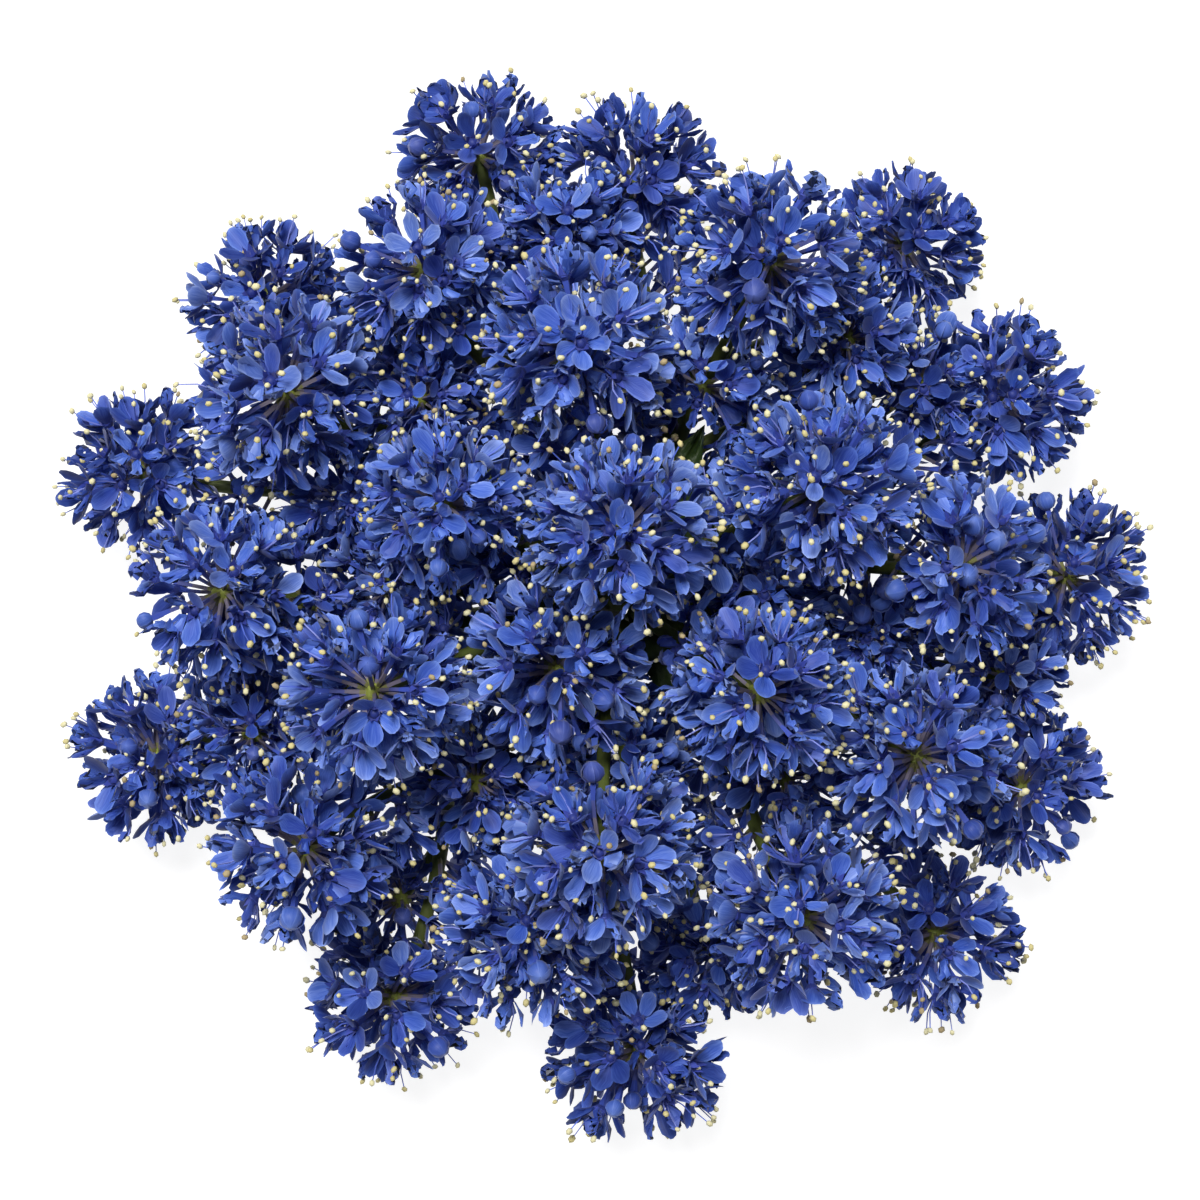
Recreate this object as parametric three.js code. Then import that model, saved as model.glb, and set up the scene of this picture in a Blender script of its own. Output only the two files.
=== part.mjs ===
// A cut flower head of California lilac (Ceanothus), lying face up.
//
// A short upright stem, cut flat, carries side branches and a few small leaves. The stem and its
// branches end in umbels: round balls of small flowers, each flower on a stalk of its own from one
// green knob. Together the umbels make a wide dome, whose lowest ones hang just over the table.
//
// Millimetres, +Z up. The origin is the middle of the stem's flat cut, which stands on the table.

import * as THREE from "three";
import { mergeVertices } from "three/addons/utils/BufferGeometryUtils.js";

// ---------------------------------------------------------------- driving dimensions

const CLEARANCE = 0.3; // gap where one solid is seated on another
const TABLE = 0; // height of the surface that the head lies on

const STEM_CUT_RADIUS = 2.4;
const STEM_TIP_RADIUS = 1.3;
const STEM_HEIGHT = 23;
const STEM_LEAN = 1.4; // how far its tip leans over to one side
const STEM_SIDES = 10;
const STEM_STEPS = 6;

const BRANCH_SPREAD = 25; // from the stem's axis to a branch's tip
const BRANCH_TIP_HEIGHT = 11.5;
const BRANCH_ARCH = 2; // how far a branch rises over the straight line between its ends
const BRANCH_ROOT_RADIUS = 1.25;
const BRANCH_TIP_RADIUS = 0.9;
const BRANCH_FORKS = [1, 0.84, 0.68, 0.52]; // where its umbels' stalks leave it, as shares of its length
const BRANCH_SIDES = 6;
const BRANCH_STEPS = 4;

const STALK_ROOT_RADIUS = 0.8; // the stout stalk that carries a whole umbel
const STALK_TIP_RADIUS = 0.6;
const STALK_SWEEP = 0.45; // share of its length over which it turns to face out of the dome
const STALK_SIDES = 6;
const STALK_STEPS = 4;

const KNOB_RADIUS = 0.95; // the green knob that an umbel's flower stalks spring from
const FLOWER_STALK_RADIUS = 0.3;
const PETALS = 5;
const FLOWER_SPREAD = 0.3; // an open flower's radius, as a share of its umbel's
const FLOWER_DEPTH = 0.26; // from its stalk to the level of its petal tips, as the same share
const FLOWER_CUP = 0.15; // how far its middle lies below its petal tips
const BUD_SPREAD = 0.16;
const BUD_SHARE = 0.1; // of the flowers are still closed buds
const UMBEL_COVER = THREE.MathUtils.degToRad(118); // flowers reach this far round from an umbel's crown
const UMBEL_EYE = THREE.MathUtils.degToRad(12); // and leave its crown itself open, down to the knob
const AIM_WANDER = 0.05; // how far flower stalks lean away from an even spacing, as a slope
const LENGTH_WANDER = 0.07; // share by which flower stalks differ in length

const LEAF_THICKNESS = 0.35;
const LEAF_EDGE_STEPS = 6;
const LEAF_FULLNESS = 0.85; // below 1 moves a leaf's widest part towards its base

const DOME_FOCUS = new THREE.Vector3(0, 0, -2); // the point that every umbel faces away from

// ---------------------------------------------------------------- plan of the head

// An umbel has a bearing in degrees (0 along +X, 90 along +Y), a distance from the stem's axis, the
// height of its knob and the radius of its ball. One that the stem carries itself also has the height
// at which it leaves the stem.
const STEM_UMBELS = [
  { bearing: 77, spread: 6.0, height: 37.0, radius: 8.9, leaves: STEM_HEIGHT },
  { bearing: 150, spread: 17.0, height: 34.4, radius: 7.7, leaves: 20.4 },
  { bearing: 328, spread: 16.2, height: 34.6, radius: 8.0, leaves: 19.8 },
  { bearing: 27, spread: 21.9, height: 33.2, radius: 9.1, leaves: 18.0 },
  { bearing: 236, spread: 7.8, height: 28.6, radius: 8.8, leaves: 17.6 },
  { bearing: 202, spread: 22.7, height: 32.4, radius: 8.6, leaves: 16.4 },
  { bearing: 96, spread: 23.1, height: 32.8, radius: 9.4, leaves: 17.4 },
  { bearing: 269, spread: 23.0, height: 32.4, radius: 9.1, leaves: 15.2 },
  { bearing: 159, spread: 27.0, height: 18.0, radius: 6.9, leaves: 17.4 },
  { bearing: 352, spread: 25.6, height: 18.4, radius: 6.4, leaves: 14.0 },
  { bearing: 65, spread: 22.4, height: 19.6, radius: 7.1, leaves: 14.4 },
  { bearing: 235, spread: 21.6, height: 19.2, radius: 6.8, leaves: 13.2 },
  { bearing: 133, spread: 26.0, height: 21.0, radius: 6.4, leaves: 15.6 },
  { bearing: 3, spread: 15.2, height: 22.0, radius: 6.2, leaves: 16.2 },
  { bearing: 177, spread: 20.8, height: 20.8, radius: 6.6, leaves: 14.8 },
  { bearing: 277, spread: 16.8, height: 21.4, radius: 6.4, leaves: 12.6 },
  { bearing: 34, spread: 37.8, height: 11.8, radius: 7.3, leaves: 4.2 },
  { bearing: 124, spread: 33.0, height: 9.0, radius: 7.2, leaves: 4.2 },
  { bearing: 187, spread: 31.0, height: 9.4, radius: 7.2, leaves: 4.2 },
  { bearing: 236, spread: 36.6, height: 9.0, radius: 7.0, leaves: 4.2 },
  { bearing: 286.5, spread: 37.2, height: 9.2, radius: 7.2, leaves: 4.2 },
];

// A branch has a bearing, the height at which it leaves the stem, and its umbels from the tip inwards.
const BRANCHES = [
  {
    bearing: 113,
    leaves: 7.6,
    umbels: [
      { bearing: 106, spread: 46.0, height: 10.2, radius: 8.6 },
      { bearing: 119, spread: 35.0, height: 25.6, radius: 8.1 },
      { bearing: 96, spread: 35.2, height: 17.6, radius: 7.2 },
    ],
  },
  {
    bearing: 68,
    leaves: 10.4,
    umbels: [
      { bearing: 49.6, spread: 46.4, height: 10.0, radius: 7.8 },
      { bearing: 86, spread: 41.6, height: 12.4, radius: 8.6 },
      { bearing: 64, spread: 35.0, height: 25.8, radius: 9.3 },
      { bearing: 47, spread: 34.2, height: 18.2, radius: 6.6 },
    ],
  },
  {
    bearing: 17,
    leaves: 7.6,
    umbels: [
      { bearing: 27, spread: 44.0, height: 11.6, radius: 9.0 },
      { bearing: 2.6, spread: 46.2, height: 10.2, radius: 8.6 },
      { bearing: 5, spread: 33.2, height: 27.0, radius: 8.6 },
    ],
  },
  {
    bearing: 335,
    leaves: 10.4,
    umbels: [
      { bearing: 335.4, spread: 45.8, height: 10.0, radius: 8.5 },
      { bearing: 333, spread: 32.4, height: 27.6, radius: 9.2 },
      { bearing: 349, spread: 40.0, height: 13.5, radius: 6.2 },
    ],
  },
  {
    bearing: 308,
    leaves: 7.6,
    umbels: [
      { bearing: 314.6, spread: 47.2, height: 9.6, radius: 8.6 },
      { bearing: 301.6, spread: 35.2, height: 25.6, radius: 9.4 },
      { bearing: 315, spread: 24.8, height: 16.4, radius: 7.1 },
    ],
  },
  {
    bearing: 267,
    leaves: 10.4,
    umbels: [
      { bearing: 274, spread: 45.0, height: 11.2, radius: 9.7 },
      { bearing: 258, spread: 32.8, height: 20.6, radius: 9.2 },
    ],
  },
  {
    bearing: 231,
    leaves: 7.6,
    umbels: [
      { bearing: 242, spread: 45.2, height: 10.2, radius: 8.9 },
      { bearing: 220, spread: 37.2, height: 22.6, radius: 9.2 },
    ],
  },
  {
    bearing: 190,
    leaves: 10.4,
    umbels: [
      { bearing: 199.6, spread: 47.6, height: 9.6, radius: 8.8 },
      { bearing: 179, spread: 36.0, height: 24.6, radius: 8.9 },
      { bearing: 201, spread: 37.0, height: 15.5, radius: 6.4 },
    ],
  },
  {
    bearing: 145,
    leaves: 12.6,
    umbels: [
      { bearing: 138.4, spread: 45.2, height: 10.4, radius: 7.9 },
      { bearing: 164.6, spread: 48.2, height: 9.4, radius: 8.2 },
      { bearing: 147, spread: 35.4, height: 25.4, radius: 9.4 },
    ],
  },
];

// A small leaf has a bearing, the height at which it leaves the stem, its slope above level, its length
// and its width.
const LEAVES = [
  { bearing: 62, leaves: 16.4, slope: 20, length: 17, width: 5.6 },
  { bearing: 312, leaves: 16.6, slope: 30, length: 14, width: 5.0 },
  { bearing: 34, leaves: 12.8, slope: 26, length: 15, width: 4.6 },
];

// ---------------------------------------------------------------- materials

const greenBark = new THREE.MeshStandardMaterial({ color: 0x5f6b2c, roughness: 0.62, metalness: 0 });
const greenLeaf = new THREE.MeshStandardMaterial({ color: 0x2f3f17, roughness: 0.55, metalness: 0 });
const blueBlossom = new THREE.MeshStandardMaterial({ color: 0x3a54b4, roughness: 0.7, metalness: 0 });

// ---------------------------------------------------------------- general tools

const UP = new THREE.Vector3(0, 0, 1);
const ONE = new THREE.Vector3(1, 1, 1);

// Random numbers from 0 to 1, the same ones every time for one seed.
function seeded(seed) {
  let state = seed;
  return () => {
    state = (state + 0x6d2b79f5) | 0;
    let bits = Math.imul(state ^ (state >>> 15), 1 | state);
    bits = (bits + Math.imul(bits ^ (bits >>> 7), 61 | bits)) ^ bits;
    return ((bits ^ (bits >>> 14)) >>> 0) / 2 ** 32;
  };
}

function polar(bearing, spread, height) {
  const angle = THREE.MathUtils.degToRad(bearing);
  return new THREE.Vector3(spread * Math.cos(angle), spread * Math.sin(angle), height);
}

// ---------------------------------------------------------------- limbs

// A limb follows a curve from its root to its tip, bending towards a third point, and tapers evenly.
function limb(root, bend, tip, rootRadius, tipRadius) {
  return {
    curve: new THREE.QuadraticBezierCurve3(root, bend, tip),
    radiusAt: (share) => THREE.MathUtils.lerp(rootRadius, tipRadius, share),
  };
}

// A cylinder bent along the limb, with both ends cut square.
function limbGeometry({ curve, radiusAt }, sides, steps) {
  const geometry = new THREE.CylinderGeometry(1, 1, 1, sides, steps);
  const position = geometry.attributes.position;
  const { normals, tangents } = curve.computeFrenetFrames(steps, false);
  const straight = new THREE.Vector3();
  for (let i = 0; i < position.count; i++) {
    straight.fromBufferAttribute(position, i);
    const step = Math.round((straight.y + 0.5) * steps);
    const radius = radiusAt(step / steps);
    const sideways = new THREE.Vector3().crossVectors(normals[step], tangents[step]);
    const bent = curve
      .getPointAt(step / steps)
      .addScaledVector(normals[step], straight.x * radius)
      .addScaledVector(sideways, straight.z * radius);
    position.setXYZ(i, bent.x, bent.y, bent.z);
  }
  return geometry;
}

// Where a twig towards a point starts, so that its square end clears the limb that carries it.
function seatOn({ curve, radiusAt }, share, towards, radius) {
  const fork = curve.getPointAt(share);
  const along = curve.getTangentAt(share);
  const heading = towards.clone().sub(fork).normalize();
  const cosine = heading.dot(along);
  const sine = Math.sqrt(1 - cosine ** 2);
  const fromEnd = (CLEARANCE + radius * sine) / cosine;
  const fromSide = (radiusAt(share) + CLEARANCE + radius * Math.abs(cosine)) / sine;
  return fork.addScaledVector(heading, share === 1 ? fromEnd : fromSide);
}

const stem = limb(
  new THREE.Vector3(0, 0, TABLE),
  new THREE.Vector3(0, 0, STEM_HEIGHT / 2),
  new THREE.Vector3(STEM_LEAN, 0, STEM_HEIGHT),
  STEM_CUT_RADIUS,
  STEM_TIP_RADIUS,
);

function branchLimb({ bearing, leaves }) {
  const tip = polar(bearing, BRANCH_SPREAD, BRANCH_TIP_HEIGHT);
  const bend = polar(bearing, BRANCH_SPREAD / 2, (leaves + BRANCH_TIP_HEIGHT) / 2 + BRANCH_ARCH);
  const root = seatOn(stem, leaves / STEM_HEIGHT, bend, BRANCH_ROOT_RADIUS);
  return limb(root, bend, tip, BRANCH_ROOT_RADIUS, BRANCH_TIP_RADIUS);
}

// ---------------------------------------------------------------- leaves

// A leaf's own frame has its base at the origin, its length along +X and its upper face towards +Z.
function leafPlace({ bearing, leaves, slope }) {
  const outwards = polar(bearing, 1, Math.tan(THREE.MathUtils.degToRad(slope))).normalize();
  const sideways = new THREE.Vector3().crossVectors(UP, outwards).normalize();
  const upwards = new THREE.Vector3().crossVectors(outwards, sideways);
  const target = stem.curve.getPointAt(leaves / STEM_HEIGHT).add(outwards);
  const base = seatOn(stem, leaves / STEM_HEIGHT, target, LEAF_THICKNESS);
  return new THREE.Matrix4().makeBasis(outwards, sideways, upwards).setPosition(base);
}

// A thin blade, pointed at both ends.
function leafGeometry({ length, width }) {
  const edge = Array.from({ length: LEAF_EDGE_STEPS + 1 }, (_, i) => {
    const share = i / LEAF_EDGE_STEPS;
    return new THREE.Vector2(share * length, (width / 2) * Math.sin(Math.PI * share ** LEAF_FULLNESS));
  });
  const otherEdge = edge
    .slice(1, -1)
    .reverse()
    .map(({ x, y }) => new THREE.Vector2(x, -y));
  const outline = new THREE.Shape([...edge, ...otherEdge]);
  return new THREE.ExtrudeGeometry(outline, { depth: LEAF_THICKNESS, bevelEnabled: false, steps: 1 });
}

// ---------------------------------------------------------------- skins

// Skins are lists of triangles, three points each, that face outwards. A ring of points turns left
// about its axis.

// A ring in the plane across an axis, whose points lie towards the given guides.
function ringTowards(guides, middle, axis, radius) {
  return guides.map((guide) => guide.clone().projectOnPlane(axis).setLength(radius).add(middle));
}

function evenRing(count, start, middle, axis, radius) {
  return Array.from({ length: count }, (_, i) => {
    const guide = start.clone().projectOnPlane(axis).applyAxisAngle(axis, (i / count) * 2 * Math.PI);
    return guide.setLength(radius).add(middle);
  });
}

function skinBetween(lower, upper) {
  const triangles = [];
  let a = 0;
  let b = 0;
  while (a < lower.length || b < upper.length) {
    const fromLower = lower[a % lower.length];
    const fromUpper = upper[b % upper.length];
    if ((a + 1) / lower.length <= (b + 1) / upper.length) {
      a++;
      triangles.push([fromLower, lower[a % lower.length], fromUpper]);
    } else {
      b++;
      triangles.push([fromLower, upper[b % upper.length], fromUpper]);
    }
  }
  return triangles;
}

function skinAlong(rings) {
  return rings.slice(1).flatMap((upper, i) => skinBetween(rings[i], upper));
}

function skinToPoint(ring, point) {
  return ring.map((corner, i) => [corner, ring[(i + 1) % ring.length], point]);
}

// ---------------------------------------------------------------- umbels

// An umbel's knob has twenty faces. One is drawn out down into the umbel's stalk, and a flower's
// stalk can be drawn out of each of the others.
function knobFaces() {
  const positions = new THREE.IcosahedronGeometry(KNOB_RADIUS, 0).attributes.position;
  const points = Array.from({ length: positions.count }, (_, i) =>
    new THREE.Vector3().fromBufferAttribute(positions, i),
  );
  const faces = Array.from({ length: points.length / 3 }, (_, i) => points.slice(3 * i, 3 * i + 3));
  const outOfFirst = middleOf(faces[0]).normalize();
  const firstDown = new THREE.Quaternion().setFromUnitVectors(outOfFirst, UP.clone().negate());
  faces.flat().forEach((point) => point.applyQuaternion(firstDown));
  return faces;
}

function middleOf(points) {
  const sum = points.reduce((total, point) => total.add(point), new THREE.Vector3());
  return sum.divideScalar(points.length);
}

const [STALK_FACE, ...FLOWER_FACES] = knobFaces();

// An umbel's own frame has its knob at the origin and +Z out of the dome.
function placeUmbel({ bearing, spread, height, radius }, carrier, share, seed) {
  const knob = polar(bearing, spread, height);
  const facing = knob.clone().sub(DOME_FOCUS).normalize();
  const turn = new THREE.Quaternion().setFromUnitVectors(UP, facing);
  const run = knob.distanceTo(carrier.curve.getPointAt(share));
  const bend = knob.clone().addScaledVector(facing, -STALK_SWEEP * run);
  const root = seatOn(carrier, share, bend, STALK_ROOT_RADIUS);
  return {
    knob,
    radius,
    seed,
    stalk: limb(root, bend, knob, STALK_ROOT_RADIUS, STALK_TIP_RADIUS),
    place: new THREE.Matrix4().compose(knob, turn, ONE),
  };
}

// The flowers that an umbel could have, by the seeded rule. A flower's middle is in the head's frame.
function flowersOf({ radius, seed, place }) {
  const random = seeded(seed);
  const spin = new THREE.Quaternion().setFromAxisAngle(UP, 2 * Math.PI * random());
  return FLOWER_FACES.map((face) => {
    const even = middleOf(face).normalize();
    const lean = new THREE.Vector3(random() - 0.5, random() - 0.5, random() - 0.5);
    const reach = radius * (1 - LENGTH_WANDER * random());
    const isBud = random() < BUD_SHARE;
    const offCrown = even.angleTo(UP);
    const aim = even.clone().addScaledVector(lean, 2 * AIM_WANDER).normalize().applyQuaternion(spin);
    const spread = radius * (isBud ? BUD_SPREAD : FLOWER_SPREAD);
    const depth = isBud ? spread : radius * FLOWER_DEPTH;
    const length = Math.sqrt(reach ** 2 - spread ** 2) - depth;
    return {
      root: face.map((corner) => corner.clone().applyQuaternion(spin)),
      aim,
      length,
      depth,
      spread,
      topDepth: isBud ? depth + spread : depth - radius * FLOWER_CUP,
      middle: aim.clone().multiplyScalar(length + depth / 2).applyMatrix4(place),
      isCovered: offCrown > UMBEL_EYE && offCrown < UMBEL_COVER,
    };
  });
}

// A flower keeps to its own umbel's side of the plane between two umbels.
function leavesItsSpace(flower, umbel, neighbour) {
  const between = neighbour.knob.clone().sub(umbel.knob);
  const apart = between.length();
  const border = (apart * umbel.radius) / (umbel.radius + neighbour.radius);
  const reached = flower.middle.clone().sub(umbel.knob).dot(between) / apart;
  return reached + flower.spread + CLEARANCE / 2 > border;
}

// A flower keeps clear of every limb, and its stalk of every limb but its umbel's own.
function touchesLimb(flower, umbel, { curve, radiusAt }) {
  const stalk = new THREE.Line3(umbel.knob, flower.middle);
  const nearest = new THREE.Vector3();
  const samples = 16;
  for (let i = 0; i <= samples; i++) {
    const point = curve.getPointAt(i / samples);
    const room = radiusAt(i / samples) + CLEARANCE;
    if (point.distanceTo(flower.middle) < room + flower.spread) return true;
    stalk.closestPointToPoint(point, true, nearest);
    if (curve !== umbel.stalk.curve && point.distanceTo(nearest) < room + FLOWER_STALK_RADIUS) return true;
  }
  return false;
}

// An open flower is a five-sided cup on its stalk, and a bud is closed to a point.
function flowerSkin({ root, aim, length, depth, spread, topDepth }) {
  const along = (distance) => aim.clone().multiplyScalar(distance);
  const stalkEnd = ringTowards(root, along(length), aim, FLOWER_STALK_RADIUS);
  const rim = evenRing(PETALS, root[0], along(length + depth), aim, spread);
  return [...skinAlong([root, stalkEnd, rim]), ...skinToPoint(rim, along(length + topDepth))];
}

// From the knob down to the umbel's stalk's square root.
function stalkSkin({ place, stalk: { curve, radiusAt } }, root) {
  const toOwnFrame = place.clone().invert();
  const rings = Array.from({ length: STALK_STEPS }, (_, i) => {
    const share = 1 - (i + 1) / STALK_STEPS;
    const middle = curve.getPointAt(share).applyMatrix4(toOwnFrame);
    const axis = curve.getTangentAt(share).transformDirection(toOwnFrame).negate();
    return evenRing(STALK_SIDES, root[0], middle, axis, radiusAt(share));
  });
  return [...skinAlong([root, ...rings]), ...skinToPoint(rings.at(-1), middleOf(rings.at(-1)))];
}

function umbelGeometry(umbel, umbels, limbs) {
  const neighbours = umbels.filter((other) => other !== umbel);
  const stands = (flower) =>
    flower.isCovered &&
    flower.middle.z - flower.spread > TABLE &&
    !neighbours.some((neighbour) => leavesItsSpace(flower, umbel, neighbour)) &&
    !limbs.some((other) => touchesLimb(flower, umbel, other));
  const flowers = flowersOf(umbel);
  const spin = new THREE.Quaternion().setFromAxisAngle(UP, 2 * Math.PI * seeded(umbel.seed)());
  const stalkRoot = STALK_FACE.map((corner) => corner.clone().applyQuaternion(spin));
  const triangles = [
    ...stalkSkin(umbel, stalkRoot),
    ...flowers.flatMap((flower) => (stands(flower) ? flowerSkin(flower) : [flower.root])),
  ];
  return mergeVertices(new THREE.BufferGeometry().setFromPoints(triangles.flat()));
}

// ---------------------------------------------------------------- the head

const head = new THREE.Group();
const umbels = [];
const limbs = [stem];

function addMesh(name, geometry, material) {
  const mesh = new THREE.Mesh(geometry, material);
  mesh.name = name;
  head.add(mesh);
  return mesh;
}

function addUmbel(plan, carrier, share) {
  const umbel = placeUmbel(plan, carrier, share, umbels.length + 1);
  umbels.push(umbel);
  limbs.push(umbel.stalk);
}

addMesh("stem", limbGeometry(stem, STEM_SIDES, STEM_STEPS), greenBark);
STEM_UMBELS.forEach((plan) => addUmbel(plan, stem, plan.leaves / STEM_HEIGHT));

BRANCHES.forEach((branch, i) => {
  const shape = branchLimb(branch);
  limbs.push(shape);
  addMesh(`branch_${i + 1}`, limbGeometry(shape, BRANCH_SIDES, BRANCH_STEPS), greenBark);
  branch.umbels.forEach((plan, fork) => addUmbel(plan, shape, BRANCH_FORKS[fork]));
});

LEAVES.forEach((leaf, i) => {
  const place = leafPlace(leaf);
  addMesh(`leaf_${i + 1}`, leafGeometry(leaf), greenLeaf).applyMatrix4(place);
  const [base, middle, tip] = [0, 0.5, 1].map((share) =>
    new THREE.Vector3(share * leaf.length, 0, 0).applyMatrix4(place),
  );
  limbs.push(limb(base, middle, tip, leaf.width / 2, leaf.width / 4));
});

umbels.forEach((umbel, i) => {
  const name = `umbel_${String(i + 1).padStart(2, "0")}`;
  addMesh(name, umbelGeometry(umbel, umbels, limbs), blueBlossom).applyMatrix4(umbel.place);
});

export default head;
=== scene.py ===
"""A cut flower head of California lilac, lying face up on a plain pale table.

The sizes are millimetres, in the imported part's own frame. Meshes are written in metres.
"""

import itertools
import math

import bmesh
import bpy
import numpy as np
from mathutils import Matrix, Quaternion, Vector


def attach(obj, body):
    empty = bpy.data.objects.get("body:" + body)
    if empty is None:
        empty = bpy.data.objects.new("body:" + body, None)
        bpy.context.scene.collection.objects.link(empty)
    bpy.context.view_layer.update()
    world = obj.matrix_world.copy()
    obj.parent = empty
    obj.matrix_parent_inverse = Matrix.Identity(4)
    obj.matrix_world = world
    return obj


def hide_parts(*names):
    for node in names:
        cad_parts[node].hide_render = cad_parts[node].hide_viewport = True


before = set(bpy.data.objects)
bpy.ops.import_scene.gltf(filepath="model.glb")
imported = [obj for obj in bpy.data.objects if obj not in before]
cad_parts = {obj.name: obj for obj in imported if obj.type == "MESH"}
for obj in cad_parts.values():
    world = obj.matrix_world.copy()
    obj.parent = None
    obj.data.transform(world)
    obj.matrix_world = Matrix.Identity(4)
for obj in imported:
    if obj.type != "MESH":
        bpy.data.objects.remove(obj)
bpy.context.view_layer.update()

bpy.ops.object.select_all(action="DESELECT")

# ---------------------------------------- stem
# The main stem: one short upright shoot of young green wood, which tapers and leans a little. It was
# cut flat across with shears, so that its foot shows pale wood round a soft pith, and it carries the
# rest of the head. Its bark is smooth, with low ridges along it and a swelling under each fork.

MM = 0.001
CLEARANCE = 0.3  # between a limb and the one that bears it
STEM_CUT_RADIUS = 2.4
STEM_TIP_RADIUS = 1.3
STEM_HEIGHT = 23
STEM_LEAN = 1.4  # how far its tip leans over to one side
STEM_SIDES, STEM_RINGS = 28, 40
CUT_INSETS = (0.16, 0.5)  # widths of the cut's two rings of pale wood, as shares of its radius
STEM_SWELLINGS = (4.2, 7.6, 10.4, 13.4, 15.4, 17.5, 20.2)
RIDGE_HEIGHT = 0.022  # as a share of the limb's radius
SWELLING_HEIGHT, SWELLING_WIDTH = 0.07, 0.05
SMOOTH_ANGLE = math.radians(55)
UP = np.array([0.0, 0.0, 1.0])


class Limb:
    """A limb that follows a quadratic curve from its root to its tip, and tapers evenly."""

    SAMPLES = 200
    STRAIGHT = 1e-6

    def __init__(self, root, bend, tip, root_radius, tip_radius):
        self.root, self.bend, self.tip = (np.array(p, float) for p in (root, bend, tip))
        self.radii = np.array([root_radius, tip_radius])
        self.times = np.linspace(0, 1, self.SAMPLES + 1)
        steps = np.diff(self.at(self.times), axis=0)
        self.lengths = np.concatenate([[0], np.cumsum(np.linalg.norm(steps, axis=1))])
        across = np.cross(self.bend - self.root, self.tip - self.root)
        if np.linalg.norm(across) < self.STRAIGHT:
            across = np.cross(self.tip - self.root, [0.3, 1, 0])
        self.across = across / np.linalg.norm(across)

    def at(self, time):
        time = np.asarray(time)[..., None]
        return (1 - time) ** 2 * self.root + 2 * time * (1 - time) * self.bend + time**2 * self.tip

    def time(self, share):
        return np.interp(np.asarray(share) * self.lengths[-1], self.lengths, self.times)

    def point(self, share):
        return self.at(self.time(share))

    def along(self, share):
        time = self.time(share)[..., None]
        slope = (1 - time) * (self.bend - self.root) + time * (self.tip - self.bend)
        return slope / np.linalg.norm(slope, axis=-1, keepdims=True)

    def radius(self, share):
        return self.radii[0] + (self.radii[1] - self.radii[0]) * np.asarray(share)

    def seat(self, share, towards, radius):
        """Where a twig of this radius towards a point starts, so that its square end clears this limb."""
        fork = self.point(share)
        heading = (towards - fork) / np.linalg.norm(towards - fork)
        cosine = heading @ self.along(share)
        sine = math.sqrt(1 - cosine**2)
        from_end = (CLEARANCE + radius * sine) / cosine
        from_side = (self.radius(share) + CLEARANCE + radius * abs(cosine)) / sine
        return fork + heading * (from_end if share == 1 else from_side)

    def skin(self, rod, relief):
        """A straight rod's corners, bent along the limb. relief raises or sinks its bark."""
        share, side = rod[:, 2], rod[:, :2]
        angle = np.arctan2(side[:, 1], side[:, 0])
        along = self.along(share)
        other = np.cross(along, self.across)
        size = (self.radius(share) * (1 + relief(angle, share)))[:, None]
        return self.point(share) + size * (side[:, :1] * self.across + side[:, 1:] * other)


def read(collection, name, width, kind=float):
    values = np.empty(len(collection) * width, kind)
    collection.foreach_get(name, values)
    return values.reshape(-1, width)


class Pattern:
    """A small mesh that was modelled once. Its arrays are repeated in joined(), and its object goes."""

    def __init__(self, model):
        mesh = model.data
        self.points = read(mesh.vertices, "co", 3) + np.array(model.location)
        self.loops = read(mesh.loops, "vertex_index", 1, np.int32)[:, 0]
        self.starts = read(mesh.polygons, "loop_start", 1, np.int32)[:, 0]
        self.slots = read(mesh.polygons, "material_index", 1, np.int32)[:, 0]
        self.map = read(mesh.uv_layers[0].data, "uv", 2)
        bpy.data.objects.remove(model)


def joined(name, pattern, copies, finishes, nodes=(), tints=0):
    """One piece from many copies of a pattern's corners. tints says at which finish each copy starts."""
    copies = np.asarray(copies)
    count, corners = copies.shape[:2]
    loops = pattern.loops + corners * np.arange(count)[:, None]
    starts = pattern.starts + len(pattern.loops) * np.arange(count)[:, None]
    mesh = bpy.data.meshes.new(name)
    mesh.vertices.add(count * corners)
    mesh.vertices.foreach_set("co", (copies * MM).astype(np.float32).ravel())
    mesh.loops.add(loops.size)
    mesh.loops.foreach_set("vertex_index", loops.ravel())
    mesh.polygons.add(starts.size)
    mesh.polygons.foreach_set("loop_start", starts.ravel())
    mesh.update(calc_edges=True)
    shades = pattern.slots + np.broadcast_to(tints, count)[:, None]
    mesh.polygons.foreach_set("material_index", shades.astype(np.int32).ravel())
    layer = mesh.uv_layers.new(name="PieceMap")
    layer.data.foreach_set("uv", np.tile(pattern.map, (count, 1)).astype(np.float32).ravel())
    for finish in finishes:
        mesh.materials.append(finish.material)
    piece = bpy.data.objects.new(name, mesh)
    bpy.context.collection.objects.link(piece)
    bpy.ops.object.select_all(action="DESELECT")
    piece.select_set(True)
    bpy.context.view_layer.objects.active = piece
    bpy.ops.object.shade_smooth_by_angle(angle=SMOOTH_ANGLE)
    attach(piece, "root")
    if nodes:
        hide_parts(*nodes)
    return piece


def pick(model, kind, test):
    """In edit mode, selects only the corners or faces of a model whose middle passes a test."""
    bpy.ops.mesh.select_mode(type=kind)
    bpy.ops.mesh.select_all(action="DESELECT")
    shape = bmesh.from_edit_mesh(model.data)
    for part in shape.verts if kind == "VERT" else shape.faces:
        middle = part.co if kind == "VERT" else part.calc_center_median()
        part.select_set(bool(test(middle)))
    shape.select_flush_mode()
    bmesh.update_edit_mesh(model.data)


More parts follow.
